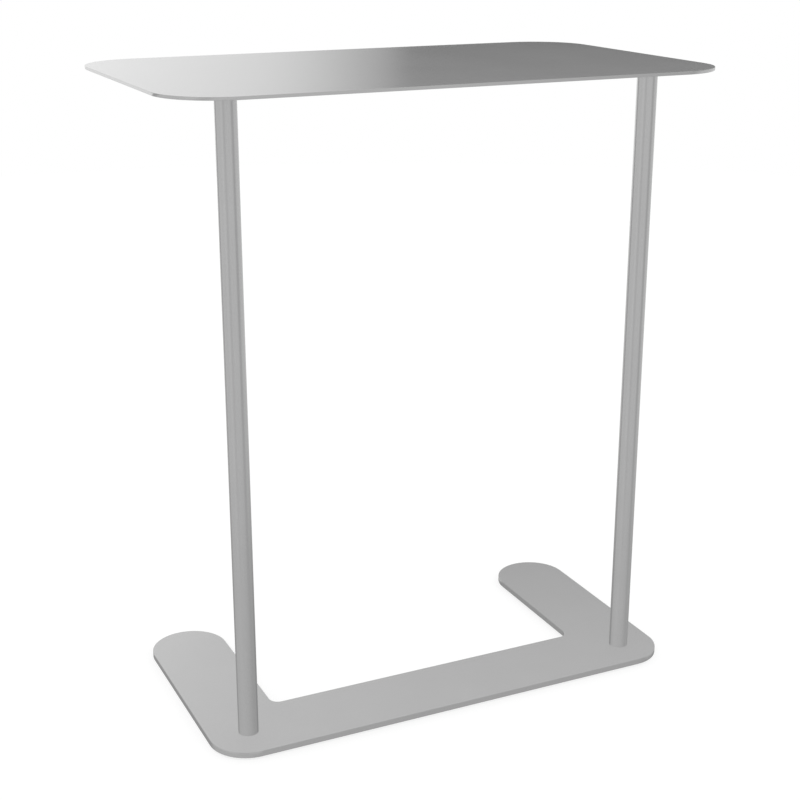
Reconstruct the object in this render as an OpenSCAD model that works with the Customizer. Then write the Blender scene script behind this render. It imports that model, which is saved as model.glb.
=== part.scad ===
// Small writing desk of plate and tube, open at the back so that it slides over a seat.
// The frame's origin is on the floor under the middle of the top. +Z is up, +X is to the
// right and -Y is the side where the columns stand. All sizes are in millimetres.

/* [Top plate] */
// Width of the top, left to right
top_w = 560; // [520:10:760]
// Depth of the top, front to back
top_d = 340; // [300:10:460]
// Thickness of the top
top_t = 3; // [2:0.5:8]
// Radius of the top's four corners
top_corner_r = 60; // [10:5:120]
// Height of the top's upper face above the underside of the base plate
plate_to_plate_h = 630; // [450:10:760]

/* [Base plate] */
// How far the top reaches past the base plate on each side
side_overhang = 25; // [0:1:50]
// Depth from the front edge to the ends of the arms
base_d = 270; // [220:10:360]
// Thickness of the base plate
base_t = 6; // [5:0.5:12]
// Width of each arm, which ends in a full round
arm_w = 80; // [60:2:110]
// Width of the crossbar along the front
crossbar_w = 80; // [60:2:110]
// Radius of the two outer corners at the front
base_corner_r = 40; // [10:1:50]
// Radius of the two inner corners, where arms and crossbar meet
gap_corner_r = 10; // [2:1:30]
// How far the top reaches past the base plate at the front
front_overhang = 20; // [0:1:40]

/* [Columns] */
// Outside diameter of the column tubes
column_d = 20; // [18:1:32]
// Wall of the column tubes
column_wall = 2; // [1:0.25:3]

/* [Head plates] */
// Thickness of the plate welded on the head of each column
head_t = 4; // [3:0.5:8]
// Width of the head plates, which have full round ends
head_w = 40; // [36:1:60]
// Length of the head plates, which start round a column's head and run back from there
head_l = 200; // [160:5:220]
// Leg of the weld round the head of each column
weld_leg = 2; // [1:0.5:4]

/* [Studs and nuts] */
// Thread diameter of the weld studs under the top
stud_d = 5; // [4:1:6]
// Length of the studs below the top
stud_l = 10; // [9:1:20]
// Diameter of the collar at the root of a stud
stud_collar_d = 6.5; // [6.5:0.1:8]
// Thickness of that collar
stud_collar_t = 0.8; // [0.4:0.1:1.5]
// Distance from a column's axis to the first stud
stud_first = 40; // [35:1:60]
// Distance from the last stud to the far end of the head plate
stud_end_margin = 20; // [10:1:30]
// Width of the nuts across their flats
nut_flats = 8; // [8:0.5:10]
// Height of the nuts
nut_h = 5; // [4:0.5:7]
// Diameter of the nuts' flange
nut_flange_d = 11.8; // [11.8:0.2:14]
// Thickness of the flange at its rim
nut_flange_t = 1.1; // [0.8:0.1:1.5]

/* [Foot screws and plugs] */
// Thread diameter of the foot screws
screw_d = 8; // [6:1:10]
// Length of the foot screws with their countersunk head
screw_l = 20; // [16:1:30]
// Diameter of the countersunk head
screw_head_d = 16.5; // [14:0.5:18]
// Depth of the head below the base plate's underside
screw_sink = 0.3; // [0.1:0.1:0.8]
// Width of the hexagon socket across its flats
socket_flats = 5; // [4:0.5:6]
// Depth of the hexagon socket
socket_depth = 3; // [2:0.5:3.5]
// Length of the threaded plug in the foot of each column
plug_l = 25; // [18:1:60]

/* [Foot pads] */
// Diameter of the foot pads
pad_d = 20; // [16:1:24]
// Thickness of the foot pads
pad_t = 2; // [1:0.5:5]
// Chamfer round the lower edge of the pads
pad_chamfer = 0.4; // [0.2:0.1:0.8]
// Distance from the rim of a pad to the edge of the base plate
pad_margin = 3; // [2:0.5:8]

/* [Clearances] */
// Play all round where a thread turns in its thread, both drawn as plain rounds
thread_play = 0.05; // [0.02:0.01:0.2]
// Play all round where a plug or a weld meets its tube
weld_play = 0.05; // [0.02:0.01:0.2]
// Play all round a stud's collar or a screw in its clearance hole
hole_play = 0.4; // [0.2:0.1:0.8]
// Play between a screw's countersunk head and its seat
seat_play = 0.05; // [0.02:0.01:0.2]

/* [Hidden] */
// Facets of the large rounds and of the small ones
large_round = 128;
small_round = 48;
// How far a cut runs past the faces that it goes through, or a slope starts inside one
cut_past = 1;

// Sides of the desk and places along each head plate and arm
SIDES = ["left", "right"];
PLACES = ["front", "middle", "rear"];
PIECES = ["column_tube", "head_plate", "threaded_plug", "foot_screw"];
ROW_PIECES = ["weld_stud", "flange_nut", "foot_pad"];

// Heights
base_z = pad_t;
column_z = base_z + base_t;
top_z = base_z + plate_to_plate_h - top_t;
head_z = top_z - head_t;
column_l = head_z - column_z;

// The columns stand where the middle lines of the arms and the crossbar meet
base_w = top_w - 2 * side_overhang;
base_front_y = -top_d / 2 + front_overhang;
arm_end_y = base_front_y + base_d - arm_w / 2;
column_x = base_w / 2 - arm_w / 2;
column_y = base_front_y + crossbar_w / 2;
gap_w = base_w - 2 * arm_w;
bore_d = column_d - 2 * column_wall;

// Countersunk head: a cone of 90 degrees from the shank to the rim
head_cone_h = (screw_head_d - screw_d) / 2;
screw_hole_d = screw_d + 2 * hole_play;
sink_rim_d = screw_head_d + 2 * screw_sink + 2 * seat_play;
sink_cone_h = (sink_rim_d - screw_hole_d) / 2;

// The back of a nut's flange rises by half the width that it gains. It starts inside the
// hexagon, so that it leaves the flats in clean curves.
nut_slope_d = nut_flats - 2 * cut_past;
nut_slope_h = (nut_flange_d - nut_slope_d) / 4;

// Studs in a row along the head plate, from the first to the last, behind the column's axis
head_reach = head_l - head_w / 2;
stud_last = head_reach - stud_end_margin;
stud_steps = len(PLACES) - 1;

// Pads: on the outer corner, half way along the arm and at the arm's end
pad_inset = pad_d / 2 + pad_margin;
corner_pad_out = (base_corner_r - pad_inset) / sqrt(2);
corner_pad_x = base_w / 2 - base_corner_r + corner_pad_out;
corner_pad_y = base_front_y + base_corner_r - corner_pad_out;
arm_start_y = base_front_y + crossbar_w;

function side_sign(side) = side == 0 ? -1 : 1;
function stud_y(place) = column_y + stud_first + place * (stud_last - stud_first) / stud_steps;
function pad_x(place) = place == 0 ? corner_pad_x : column_x;
function pad_y(place) = [corner_pad_y, (arm_start_y + arm_end_y) / 2, arm_end_y][place];

// Puts its children on the axis of the left or right column, at floor level
module at_column(side) {
    translate([side_sign(side) * column_x, column_y, 0])
        children();
}

// Puts its children on the axis of one stud
module at_stud(side, place) {
    translate([side_sign(side) * column_x, stud_y(place), 0])
        children();
}

// Rectangle with four round corners, its middle at the origin
module round_rectangle(w, d, r) {
    square([w - 2 * r, d], center = true);
    square([w, d - 2 * r], center = true);
    for (x = [-1, 1], y = [-1, 1])
        translate([x * (w / 2 - r), y * (d / 2 - r)])
            circle(r = r, $fn = large_round);
}

// What lies between a square corner at the origin and the round of radius r inside it
module corner_rest(r) {
    difference() {
        square(r);
        translate([r, r])
            circle(r = r, $fn = large_round);
    }
}

// Right-hand arm in plan with its half of the crossbar
module arm_plan() {
    difference() {
        union() {
            translate([0, base_front_y])
                square([base_w / 2, crossbar_w]);
            translate([gap_w / 2, base_front_y])
                square([arm_w, arm_end_y - base_front_y]);
            // Full round end of the arm
            translate([column_x, arm_end_y])
                circle(d = arm_w, $fn = large_round);
            // Hollow round between crossbar and arm
            translate([gap_w / 2, arm_start_y])
                mirror([1, 0])
                    corner_rest(gap_corner_r);
        }
        // Round outer corner
        translate([base_w / 2, base_front_y])
            mirror([1, 0])
                corner_rest(base_corner_r);
    }
}

module table_top() {
    color("gainsboro")
        translate([0, 0, top_z])
            linear_extrude(top_t)
                round_rectangle(top_w, top_d, top_corner_r);
}

module base_plate() {
    color("lightgray")
        difference() {
            translate([0, 0, base_z])
                linear_extrude(base_t) {
                    arm_plan();
                    mirror([1, 0])
                        arm_plan();
                }
            for (side = [0, 1])
                at_column(side)
                    countersunk_hole();
        }
}

// Clearance hole of a foot screw with its countersink, open below and above
module countersunk_hole() {
    translate([0, 0, base_z - cut_past])
        cylinder(h = base_t + 2 * cut_past, d = screw_hole_d, $fn = small_round);
    translate([0, 0, base_z])
        cylinder(h = sink_cone_h, d1 = sink_rim_d, d2 = screw_hole_d, $fn = small_round);
    translate([0, 0, base_z - cut_past])
        cylinder(h = cut_past, d = sink_rim_d, $fn = small_round);
}

module column_tube(side) {
    color("silver")
        at_column(side)
            translate([0, 0, column_z])
                difference() {
                    cylinder(h = column_l, d = column_d, $fn = large_round);
                    translate([0, 0, -cut_past])
                        cylinder(h = column_l + 2 * cut_past, d = bore_d, $fn = large_round);
                }
}

// Flat strap under the top that spreads the load of one column
module head_plate(side) {
    color("silver")
        difference() {
            union() {
                at_column(side)
                    translate([0, 0, head_z])
                        linear_extrude(head_t) {
                            circle(d = head_w, $fn = large_round);
                            translate([-head_w / 2, 0])
                                square([head_w, head_reach - head_w / 2]);
                            translate([0, head_reach - head_w / 2])
                                circle(d = head_w, $fn = large_round);
                        }
                at_column(side)
                    head_weld();
            }
            for (place = [0 : stud_steps])
                at_stud(side, place)
                    translate([0, 0, head_z - cut_past])
                        cylinder(h = head_t + 2 * cut_past, d = stud_collar_d + 2 * hole_play,
                                 $fn = small_round);
        }
}

// Fillet weld round the head of a column
module head_weld() {
    weld_r = column_d / 2 + weld_play;
    rotate_extrude($fn = large_round)
        polygon([
            [weld_r, head_z],
            [weld_r, head_z - weld_leg],
            [weld_r + weld_leg, head_z]
        ]);
}

// Round plug with a threaded bore, flush with the foot of the column
module threaded_plug(side) {
    color("darkgray")
        at_column(side)
            translate([0, 0, column_z])
                difference() {
                    cylinder(h = plug_l, d = bore_d - 2 * weld_play, $fn = large_round);
                    translate([0, 0, -cut_past])
                        cylinder(h = plug_l + 2 * cut_past, d = screw_d + 2 * thread_play,
                                 $fn = small_round);
                }
}

module foot_screw(side) {
    color("dimgray")
        at_column(side)
            translate([0, 0, base_z + screw_sink])
                difference() {
                    union() {
                        cylinder(h = head_cone_h, d1 = screw_head_d, d2 = screw_d,
                                 $fn = small_round);
                        cylinder(h = screw_l, d = screw_d, $fn = small_round);
                    }
                    translate([0, 0, -cut_past])
                        hexagon(socket_flats, socket_depth + cut_past);
                }
}

// Hexagonal prism, its width given across the flats
module hexagon(flats, h) {
    cylinder(h = h, d = flats / cos(30), $fn = 6);
}

// Threaded stud that hangs from the underside of the top on a welded collar
module weld_stud(side, place) {
    color("dimgray")
        at_stud(side, place) {
            translate([0, 0, top_z - stud_l])
                cylinder(h = stud_l, d = stud_d, $fn = small_round);
            translate([0, 0, top_z - stud_collar_t])
                cylinder(h = stud_collar_t, d = stud_collar_d, $fn = small_round);
        }
}

// Hexagon nut with a flange that bears on the head plate from below
module flange_nut(side, place) {
    flange_z = head_z - nut_flange_t;
    color("dimgray")
        at_stud(side, place)
            difference() {
                union() {
                    translate([0, 0, head_z - nut_h])
                        hexagon(nut_flats, nut_h);
                    translate([0, 0, flange_z])
                        cylinder(h = nut_flange_t, d = nut_flange_d, $fn = small_round);
                    translate([0, 0, flange_z - nut_slope_h])
                        cylinder(h = nut_slope_h, d1 = nut_slope_d, d2 = nut_flange_d,
                                 $fn = small_round);
                }
                translate([0, 0, head_z - nut_h - cut_past])
                    cylinder(h = nut_h + 2 * cut_past, d = stud_d + 2 * thread_play,
                             $fn = small_round);
            }
}

// Round pad with a chamfered lower edge, glued under the base
module foot_pad(side, place) {
    color("dimgray")
        translate([side_sign(side) * pad_x(place), pad_y(place), 0]) {
            cylinder(h = pad_chamfer, d1 = pad_d - 2 * pad_chamfer, d2 = pad_d,
                     $fn = small_round);
            translate([0, 0, pad_chamfer])
                cylinder(h = pad_t - pad_chamfer, d = pad_d, $fn = small_round);
        }
}

table_top();
base_plate();
for (side = [0, 1]) {
    column_tube(side);
    head_plate(side);
    threaded_plug(side);
    foot_screw(side);
}
for (side = [0, 1], place = [0 : len(PLACES) - 1]) {
    place_name = str(SIDES[side], "_", PLACES[place]);
    weld_stud(side, place);
    flange_nut(side, place);
    foot_pad(side, place);
}
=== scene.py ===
"""Looks of a small writing desk of coated plate and tube, on a plain pale floor.

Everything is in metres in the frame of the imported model: origin on the floor under the
middle of the top, +Z up, +X to the right, -Y the side where the columns stand.
"""

import math

import bpy
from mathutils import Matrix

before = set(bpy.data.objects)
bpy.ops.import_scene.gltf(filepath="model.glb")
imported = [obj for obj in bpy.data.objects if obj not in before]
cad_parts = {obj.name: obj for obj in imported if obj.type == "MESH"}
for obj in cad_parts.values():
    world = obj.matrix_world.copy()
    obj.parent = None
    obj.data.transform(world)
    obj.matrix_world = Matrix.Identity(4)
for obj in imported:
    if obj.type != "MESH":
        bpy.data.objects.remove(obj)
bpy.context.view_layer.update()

WHITE = (1.0, 1.0, 1.0, 1.0)

# The photograph's camera, found by fitting the desk's outlines
EYE = (-0.6255, -1.3356, 0.7820)
YAW = math.radians(25.145)
PITCH = math.radians(18.526)
FOCAL_PX = 1485.4
PHOTO_PX = 800
SENSOR_MM = 36.0
CLIP_NEAR = 0.01
CLIP_FAR = 50.0

# Sharp edges: how wide each kind of piece is rounded, and how the rounding is made
PLATE_EDGE = 0.0002
HEAD_EDGE = 0.0003
PLUG_EDGE = 0.0002
SMALL_EDGE = 0.0001
EDGE_STEPS = 3
SHARP_ANGLE = math.radians(35)
FLAT_ANGLE = math.radians(0.2)
WELD_DISTANCE = 0.00002

# Reflected rays see these pieces alone, because the photograph shows no image of the base, the
# columns or their fasteners in another piece
REFLECTED = ("table_top", "head_plate", "weld_stud", "flange_nut")

# Noises: scales are per metre, and most of a noise's values lie between these two
NOISE_RANGE = (0.3, 0.7)
WIDE_NOISE_RANGE = (0.25, 0.75)

# Powder coat: flakes, slow clouds and orange peel, with what each adds
COAT_GREY = 0.46
COAT_ROUGHNESS = 0.2
FLAKE_SCALE = 2400.0
FLAKE_TONE = 0.05
FLAKE_GLOSS = 0.03
CLOUD_SCALE = 14.0
CLOUD_TONE = 0.005
CLOUD_GLOSS = 0.005
PEEL_SCALE = 700.0
PEEL_DEPTH = 0.000008

# Rubber of the foot pads
RUBBER_TONES = (0.038, 0.062)
RUBBER_ROUGHNESS = 0.75
GRAIN_SCALE = 1800.0
GRAIN_STRENGTH = 0.5
GRAIN_DEPTH = 0.00005

# Fasteners: their axes stand at this distance from the middle, in steps from the column's axis
FASTENER_X = 0.215
FASTENER_Y = -0.110
FASTENER_STEP = 0.020
ZINC_COLOUR = (0.62, 0.63, 0.65)
ZINC_ROUGHNESS = 0.28
STEEL_COLOUR = (0.45, 0.45, 0.46)
STEEL_ROUGHNESS = 0.35
TURNING_SCALE = 5000.0
TURNING_TONES = (0.92, 1.04)
TURNING_ROUGHER = 0.06
TURNING_SMOOTHER = 0.04
TURNING_DEPTH = 0.00001
SPECK_SCALE = 2500.0
SPECK_TONE = 0.04
THREAD_PITCH = 0.0008
THREAD_CORE_RADIUS = 0.0023
# Painted shade in the foot screw's hex socket: within this radius and over this height the colour
# is darkened by a share, and the gloss is made rougher
SOCKET_RADIUS = 0.0030
SOCKET_EDGE_Z = 0.0024
SOCKET_PAINTED_SHADE = 0.8
SOCKET_ROUGHER = 0.2

# Floor
FLOOR_RADIUS = 3.2
FLOOR_CORNERS = 96
FLOOR_COLOUR = (0.8, 0.8, 0.8, 1.0)
# What the camera sees of it: a glow, and this share of its lit surface with the shadow
FLOOR_GLOW = 1.2
FLOOR_SHARE = 0.375

# Studio: azimuths in degrees from +Y towards +X, heights in degrees over the horizon.
# A pair of angles is a soft edge, from where it starts to where it is full.
# A mark is a strip: its centre, half width, soft edge and change of level.
WALL_LEVEL = 0.94
CEILING_LEVEL = 1.005
CEILING_EDGE = (8.0, 30.0)
WALL_MARKS = (
    (134.5, 5.0, 17.0, -0.23),
    (-138.0, 4.0, 12.0, -0.11),
    (-113.0, 4.0, 12.0, 0.05),
    (-35.0, 5.0, 7.0, -0.36),
)
WALL_MARKS_TOP = (50.0, 20.0)
# The bright panel, which is wider under the horizon
PANEL_LIGHT = 0.22
PANEL_LEFT = (-20.0, -17.0)
PANEL_LEFT_LOW = (-25.0, -22.0)
PANEL_HORIZON = (-3.0, 1.0)
PANEL_BOTTOM = (-14.0, -8.0)
PANEL_CORE_MARK = (12.0, 4.0, 16.0, 0.096)
PANEL_LOW_MARK = (-19.0, 3.0, 6.0, 0.07)
# Its fading right side, a long fade and a steeper fall
FADE_EDGE = (11.7, 26.0)
FADE_DEPTH = 0.57
FALL_EDGE = (19.6, 28.4)
FALL_DEPTH = 0.63
# The dark gap on its right, and the gap's darker foot
GAP_DEPTH = 0.66
GAP_LEFT = (25.2, 26.2)
GAP_RIGHT = (50.0, 40.0)
GAP_TOP = (30.0, 0.0)
GAP_BOTTOM = (-4.0, 0.0)
FOOT_DEPTH = 0.60
FOOT_LEFT = (24.4, 26.4)
FOOT_TOP = (7.4, 2.0)
# The upper ends of the gap and the panel
ENDS_BOTTOM = (12.0, 22.0)
GAP_END_DEPTH = 0.24
GAP_END_TOP = (27.0, 23.5)
PANEL_END_MARK = (10.0, 3.0, 7.0, 0.19)
PANEL_END_TOP = (33.0, 27.0)
# The lower half
LOW_EDGE = (-15.5, -28.5)
LOW_LEVEL = 0.75
LOW_SWING = 0.115
LOW_AZIMUTH = 65.0
LOW_MARKS = (
    (20.0, 45.0, 25.0, -0.20),
    (-17.0, 4.0, 8.0, -0.07),
)


def nodes_of(owner):
    """The empty node tree of a material or world."""
    owner.use_nodes = True
    owner.node_tree.nodes.clear()
    return owner.node_tree


class Graph:
    """Short calls that add and link shader nodes."""

    def __init__(self, tree):
        self.tree = tree

    def add(self, kind, inputs=None, **settings):
        """A new node, with its settings made and its inputs filled."""
        node = self.tree.nodes.new(kind)
        for name, value in settings.items():
            setattr(node, name, value)
        for key, value in (inputs or {}).items():
            self.put(node.inputs[key], value)
        return node

    def put(self, socket, value):
        """Links another node's output to the socket, or sets it to a plain value."""
        if isinstance(value, bpy.types.NodeSocket):
            self.tree.links.new(value, socket)
        else:
            socket.default_value = value

    def math(self, operation, a, b=0.0):
        """The result of one sum, product or function."""
        return self.add("ShaderNodeMath", {0: a, 1: b}, operation=operation).outputs[0]

    def blend(self, a, b, share):
        """The value a where share is 0, and b where it is 1."""
        rest = self.math("SUBTRACT", 1.0, share)
        return self.math("ADD", self.math("MULTIPLY", a, rest), self.math("MULTIPLY", b, share))

    def ramp(self, value, low, high, out_low=0.0, out_high=1.0, smooth=True):
        """Maps value from low..high to out_low..out_high and holds it outside."""
        node = self.add(
            "ShaderNodeMapRange",
            {
                "Value": value,
                "From Min": low,
                "From Max": high,
                "To Min": out_low,
                "To Max": out_high,
            },
            interpolation_type="SMOOTHSTEP" if smooth else "LINEAR",
        )
        return node.outputs["Result"]

    def noise(self, vector, scale, detail=2.0, roughness=0.5):
        """Soft random values round 0.5, the same at the same place each time."""
        node = self.add(
            "ShaderNodeTexNoise",
            {"Vector": vector, "Scale": scale, "Detail": detail, "Roughness": roughness},
        )
        return node.outputs["Fac"]


def coated_steel(name, grey, roughness):
    """Satin silver powder coat: fine flakes, a trace of orange peel and slightly uneven gloss."""
    material = bpy.data.materials.new(name)
    g = Graph(nodes_of(material))
    place = g.add("ShaderNodeTexCoord").outputs["Object"]
    flakes = g.noise(place, FLAKE_SCALE, detail=2.0, roughness=0.7)
    clouds = g.noise(place, CLOUD_SCALE, detail=3.0)
    peel = g.noise(place, PEEL_SCALE, detail=2.0)
    tone = g.math(
        "ADD",
        g.ramp(flakes, *NOISE_RANGE, -FLAKE_TONE, FLAKE_TONE, smooth=False),
        g.ramp(clouds, *NOISE_RANGE, -CLOUD_TONE, CLOUD_TONE),
    )
    level = g.math("ADD", tone, grey)
    colour = g.add("ShaderNodeCombineColor", {"Red": level, "Green": level, "Blue": level})
    gloss = g.math(
        "ADD",
        g.ramp(clouds, *WIDE_NOISE_RANGE, -CLOUD_GLOSS, CLOUD_GLOSS),
        g.ramp(flakes, *NOISE_RANGE, roughness + FLAKE_GLOSS, roughness - FLAKE_GLOSS),
    )
    bump = g.add("ShaderNodeBump", {"Height": peel, "Strength": 1.0, "Distance": PEEL_DEPTH})
    shader = g.add(
        "ShaderNodeBsdfPrincipled",
        {
            "Base Color": colour.outputs["Color"],
            "Metallic": 1.0,
            "Roughness": gloss,
            "Normal": bump.outputs["Normal"],
        },
    )
    g.add("ShaderNodeOutputMaterial", {"Surface": shader.outputs["BSDF"]})
    return material


def turned_metal(name, colour, roughness, thread=False, socket=False):
    """Metal with fine turning marks round the upright axis of each fastener. With socket, painted
    shade darkens the hollow of the hex socket.
    """
    material = bpy.data.materials.new(name)
    g = Graph(nodes_of(material))
    place = g.add("ShaderNodeTexCoord").outputs["Object"]
    xyz = g.add("ShaderNodeSeparateXYZ", {"Vector": place})
    height = xyz.outputs["Z"]
    across = g.math("SUBTRACT", g.math("ABSOLUTE", xyz.outputs["X"]), FASTENER_X)
    along = g.add(
        "ShaderNodeMath",
        {
            0: g.math("SUBTRACT", xyz.outputs["Y"], FASTENER_Y),
            1: FASTENER_STEP / 2,
            2: -FASTENER_STEP / 2,
        },
        operation="WRAP",
    ).outputs[0]
    square = g.math("ADD", g.math("POWER", across, 2.0), g.math("POWER", along, 2.0))
    radius = g.math("SQRT", square)
    turned = g.add("ShaderNodeCombineXYZ", {"X": radius, "Y": 0.0, "Z": height})
    marks = g.noise(turned.outputs["Vector"], TURNING_SCALE, detail=3.0, roughness=0.6)
    specks = g.noise(place, SPECK_SCALE)
    tone = g.math(
        "ADD",
        g.ramp(marks, *NOISE_RANGE, *TURNING_TONES),
        g.ramp(specks, *NOISE_RANGE, -SPECK_TONE, SPECK_TONE),
    )
    gloss = g.ramp(marks, *NOISE_RANGE, roughness + TURNING_ROUGHER, roughness - TURNING_SMOOTHER)
    # Painted shade: the hollow of the hex socket is darkened in colour in place of the shade that
    # falls there, and made rougher
    if socket:
        inner = g.math("LESS_THAN", radius, SOCKET_RADIUS)
        socket_shade_mask = g.math("MULTIPLY", inner, g.math("GREATER_THAN", height, SOCKET_EDGE_Z))
        shade = g.math("SUBTRACT", 1.0, g.math("MULTIPLY", socket_shade_mask, SOCKET_PAINTED_SHADE))
        tone = g.math("MULTIPLY", tone, shade)
        gloss = g.math("ADD", gloss, g.math("MULTIPLY", socket_shade_mask, SOCKET_ROUGHER))
    red, green, blue = (g.math("MULTIPLY", tone, part) for part in colour)
    paint = g.add("ShaderNodeCombineColor", {"Red": red, "Green": green, "Blue": blue})
    relief = g.math("MULTIPLY", marks, TURNING_DEPTH)
    if thread:
        angle = g.math("ARCTAN2", along, across)
        climb = g.math("ADD", height, g.math("MULTIPLY", angle, THREAD_PITCH / (2 * math.pi)))
        ridge = g.math("PINGPONG", climb, THREAD_PITCH / 2)
        flank = g.math("GREATER_THAN", radius, THREAD_CORE_RADIUS)
        relief = g.math("ADD", relief, g.math("MULTIPLY", ridge, flank))
    bump = g.add("ShaderNodeBump", {"Height": relief, "Strength": 1.0, "Distance": 1.0})
    shader = g.add(
        "ShaderNodeBsdfPrincipled",
        {
            "Base Color": paint.outputs["Color"],
            "Metallic": 1.0,
            "Roughness": gloss,
            "Normal": bump.outputs["Normal"],
        },
    )
    g.add("ShaderNodeOutputMaterial", {"Surface": shader.outputs["BSDF"]})
    return material


def pad_rubber(name):
    """Matt dark rubber with a fine grain."""
    material = bpy.data.materials.new(name)
    g = Graph(nodes_of(material))
    place = g.add("ShaderNodeTexCoord").outputs["Object"]
    grain = g.noise(place, GRAIN_SCALE, detail=3.0)
    level = g.ramp(grain, *NOISE_RANGE, *RUBBER_TONES)
    colour = g.add("ShaderNodeCombineColor", {"Red": level, "Green": level, "Blue": level})
    bump = g.add(
        "ShaderNodeBump",
        {"Height": grain, "Strength": GRAIN_STRENGTH, "Distance": GRAIN_DEPTH},
    )
    shader = g.add(
        "ShaderNodeBsdfPrincipled",
        {
            "Base Color": colour.outputs["Color"],
            "Roughness": RUBBER_ROUGHNESS,
            "Normal": bump.outputs["Normal"],
        },
    )
    g.add("ShaderNodeOutputMaterial", {"Surface": shader.outputs["BSDF"]})
    return material


def dress(node, material, edge=0.0):
    """Gives a CAD node its material, and rounds its sharp edges by edge metres.

    Triangles that lie in one plane are joined first, because they would narrow the rounding.
    """
    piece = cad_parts[node]
    piece.data.materials.clear()
    piece.data.materials.append(material)
    piece.visible_glossy = node.endswith(REFLECTED)
    if edge:
        weld = piece.modifiers.new("weld", "WELD")
        weld.merge_threshold = WELD_DISTANCE
        flat = piece.modifiers.new("flat", "DECIMATE")
        flat.decimate_type = "DISSOLVE"
        flat.angle_limit = FLAT_ANGLE
        bevel = piece.modifiers.new("edge", "BEVEL")
        bevel.width = edge
        bevel.segments = EDGE_STEPS
        bevel.limit_method = "ANGLE"
        bevel.angle_limit = SHARP_ANGLE
        bevel.harden_normals = True


coat = coated_steel("coated_plate", COAT_GREY, COAT_ROUGHNESS)
zinc = turned_metal("zinc_nut", ZINC_COLOUR, ZINC_ROUGHNESS)
threaded_zinc = turned_metal("zinc_stud", ZINC_COLOUR, ZINC_ROUGHNESS, thread=True)
socket_zinc = turned_metal("zinc_screw", ZINC_COLOUR, ZINC_ROUGHNESS, socket=True)
steel = turned_metal("bare_steel", STEEL_COLOUR, STEEL_ROUGHNESS)
rubber = pad_rubber("pad_rubber")

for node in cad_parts:
    if node in ("table_top", "base_plate"):
        dress(node, coat, PLATE_EDGE)
    elif node.endswith("column_tube"):
        dress(node, coat)
    elif node.endswith("head_plate"):
        dress(node, coat, HEAD_EDGE)
    elif node.endswith("threaded_plug"):
        dress(node, steel, PLUG_EDGE)
    elif node.endswith("foot_pad"):
        dress(node, rubber, SMALL_EDGE)
    elif node.endswith("weld_stud"):
        dress(node, threaded_zinc, SMALL_EDGE)
    elif node.endswith("foot_screw"):
        dress(node, socket_zinc, SMALL_EDGE)
    else:
        dress(node, zinc, SMALL_EDGE)


def make_floor():
    """Round pale floor. Its colour shows white to the camera and keeps the desk's shadow."""
    mesh = bpy.data.meshes.new("floor")
    ring = [
        (
            FLOOR_RADIUS * math.cos(2 * math.pi * k / FLOOR_CORNERS),
            FLOOR_RADIUS * math.sin(2 * math.pi * k / FLOOR_CORNERS),
            0.0,
        )
        for k in range(FLOOR_CORNERS)
    ]
    mesh.from_pydata(ring, [], [list(range(FLOOR_CORNERS))])
    floor = bpy.data.objects.new("floor", mesh)
    bpy.context.scene.collection.objects.link(floor)
    floor.visible_glossy = False
    material = bpy.data.materials.new("floor")
    g = Graph(nodes_of(material))
    diffuse = g.add("ShaderNodeBsdfDiffuse", {"Color": FLOOR_COLOUR})
    glow = g.add("ShaderNodeEmission", {"Color": WHITE, "Strength": FLOOR_GLOW})
    both = g.add(
        "ShaderNodeMixShader",
        {0: FLOOR_SHARE, 1: glow.outputs[0], 2: diffuse.outputs[0]},
    )
    rays = g.add("ShaderNodeLightPath")
    seen = g.math("MAXIMUM", rays.outputs["Is Camera Ray"], rays.outputs["Is Transmission Ray"])
    seen = g.math("MAXIMUM", seen, rays.outputs["Is Glossy Ray"])
    shown = g.add("ShaderNodeMixShader", {0: seen, 1: diffuse.outputs[0], 2: both.outputs[0]})
    under = g.add("ShaderNodeBsdfTransparent")
    side = g.add("ShaderNodeNewGeometry")
    surface = g.add(
        "ShaderNodeMixShader",
        {0: side.outputs["Backfacing"], 1: shown.outputs[0], 2: under.outputs[0]},
    )
    g.add("ShaderNodeOutputMaterial", {"Surface": surface.outputs[0]})
    mesh.materials.append(material)


def mark(g, azimuth, centre, half, soft, change):
    """A soft-edged upright strip of the studio that is lighter or darker by change."""
    off = g.math("ABSOLUTE", g.math("SUBTRACT", azimuth, centre))
    return g.ramp(off, half + soft, half, 0.0, change)


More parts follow.
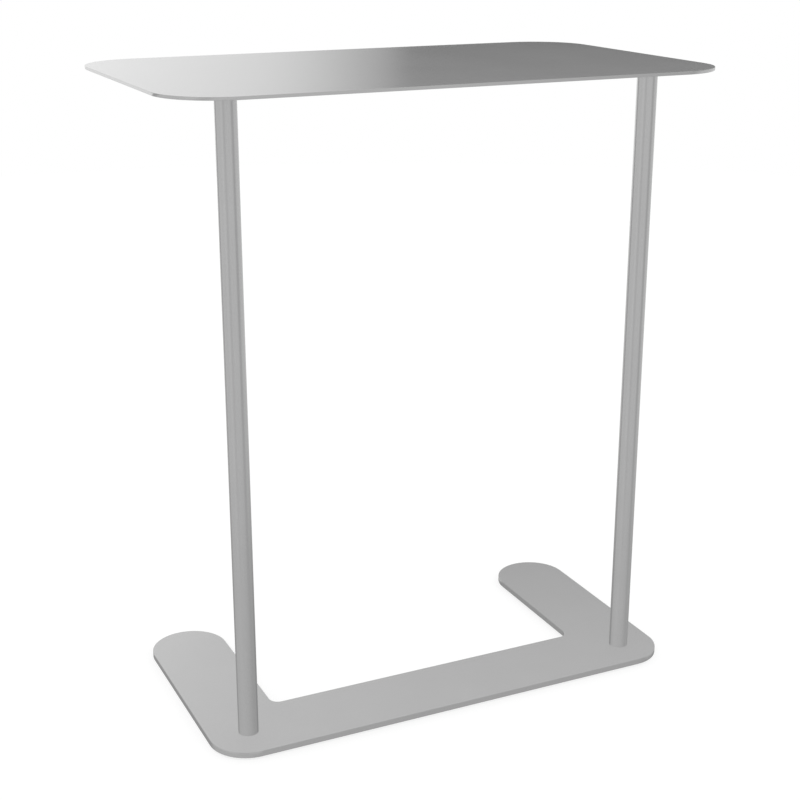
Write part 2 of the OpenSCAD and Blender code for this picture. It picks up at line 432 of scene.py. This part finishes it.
def make_world():
    """Soft studio round the desk: a pale surround with a bright panel and dark gaps."""
    world = bpy.data.worlds.new("studio")
    bpy.context.scene.world = world
    g = Graph(nodes_of(world))
    way = g.add("ShaderNodeTexCoord").outputs["Generated"]
    xyz = g.add("ShaderNodeSeparateXYZ", {"Vector": way})
    turn = g.math("ARCTAN2", xyz.outputs["X"], xyz.outputs["Y"])
    azimuth = g.math("MULTIPLY", turn, 180 / math.pi)
    rise = g.math("MULTIPLY", g.math("ARCSINE", xyz.outputs["Z"]), 180 / math.pi)

    # The walls, a little dimmer than the ceiling, with upright strips that end under it
    strips = 0.0
    for strip in WALL_MARKS:
        strips = g.math("ADD", strips, mark(g, azimuth, *strip))
    strips = g.math("MULTIPLY", strips, g.ramp(rise, *WALL_MARKS_TOP))
    walls = g.math("ADD", g.ramp(rise, *CEILING_EDGE, WALL_LEVEL, CEILING_LEVEL), strips)
    # The bright panel ends at the gap, and reaches further left under the horizon
    gap = g.ramp(azimuth, *GAP_LEFT)
    clear = g.math("SUBTRACT", 1.0, gap)
    upper = g.ramp(azimuth, *PANEL_LEFT, 0.0, PANEL_LIGHT)
    lower = g.ramp(azimuth, *PANEL_LEFT_LOW, 0.0, PANEL_LIGHT)
    lower = g.math("ADD", lower, mark(g, azimuth, *PANEL_LOW_MARK))
    panel = g.blend(lower, upper, g.ramp(rise, *PANEL_HORIZON))
    panel = g.math("ADD", panel, mark(g, azimuth, *PANEL_CORE_MARK))
    panel = g.math("MULTIPLY", g.math("MULTIPLY", panel, clear), g.ramp(rise, *PANEL_BOTTOM))
    # The gap and the fade before it stay over the horizon, and are darkest near it
    fade = g.math(
        "ADD",
        g.ramp(azimuth, *FADE_EDGE, 0.0, -FADE_DEPTH, smooth=False),
        g.ramp(azimuth, *FALL_EDGE, 0.0, -FALL_DEPTH),
    )
    dark = g.math("ADD", g.math("MULTIPLY", fade, clear), g.math("MULTIPLY", gap, -GAP_DEPTH))
    high = g.ramp(rise, *GAP_TOP, smooth=False)
    foot = g.math(
        "MULTIPLY",
        g.ramp(azimuth, *FOOT_LEFT),
        g.ramp(rise, *FOOT_TOP, 0.0, -FOOT_DEPTH),
    )
    dark = g.math("ADD", g.math("MULTIPLY", dark, high), foot)
    dark = g.math("MULTIPLY", dark, g.ramp(rise, *GAP_BOTTOM))
    lit = g.math("ADD", g.math("MULTIPLY", panel, high), dark)
    lit = g.math("MULTIPLY", lit, g.ramp(azimuth, *GAP_RIGHT))
    walls = g.math("ADD", walls, lit)
    # The upper ends of both, as the base plate shows them
    gap_end = g.math("MULTIPLY", gap, g.ramp(azimuth, *GAP_RIGHT, 0.0, -GAP_END_DEPTH))
    gap_end = g.math("MULTIPLY", gap_end, g.ramp(rise, *GAP_END_TOP))
    panel_end = mark(g, azimuth, *PANEL_END_MARK)
    panel_end = g.math("MULTIPLY", panel_end, g.ramp(rise, *PANEL_END_TOP))
    ends = g.math("ADD", gap_end, panel_end)
    walls = g.math("ADD", walls, g.math("MULTIPLY", ends, g.ramp(rise, *ENDS_BOTTOM)))
    # The lower half is dimmer, most of all behind the desk
    turned = g.math("MULTIPLY", g.math("SUBTRACT", azimuth, LOW_AZIMUTH), math.pi / 180)
    low = g.math("MULTIPLY", g.math("COSINE", turned), -LOW_SWING)
    low = g.math("ADD", low, LOW_LEVEL)
    for strip in LOW_MARKS:
        low = g.math("ADD", low, mark(g, azimuth, *strip))
    level = g.blend(walls, low, g.ramp(rise, *LOW_EDGE))

    # The background is white for every ray. Metal sees it with the panel and the gaps on it.
    rays = g.add("ShaderNodeLightPath")
    shown = g.add(
        "ShaderNodeMix",
        {"Factor": rays.outputs["Is Glossy Ray"], "A": 1.0, "B": level},
        data_type="FLOAT",
    )
    light = g.add("ShaderNodeBackground", {"Color": WHITE, "Strength": shown.outputs[0]})
    g.add("ShaderNodeOutputWorld", {"Surface": light.outputs[0]})


def make_camera():
    """The photograph's camera."""
    data = bpy.data.cameras.new("camera")
    data.sensor_width = SENSOR_MM
    data.lens = FOCAL_PX / PHOTO_PX * SENSOR_MM
    data.clip_start = CLIP_NEAR
    data.clip_end = CLIP_FAR
    camera = bpy.data.objects.new("camera", data)
    camera.location = EYE
    camera.rotation_euler = (math.pi / 2 - PITCH, 0.0, -YAW)
    bpy.context.scene.collection.objects.link(camera)
    bpy.context.scene.camera = camera


make_floor()
make_world()
make_camera()
bpy.context.scene.view_settings.view_transform = "Standard"
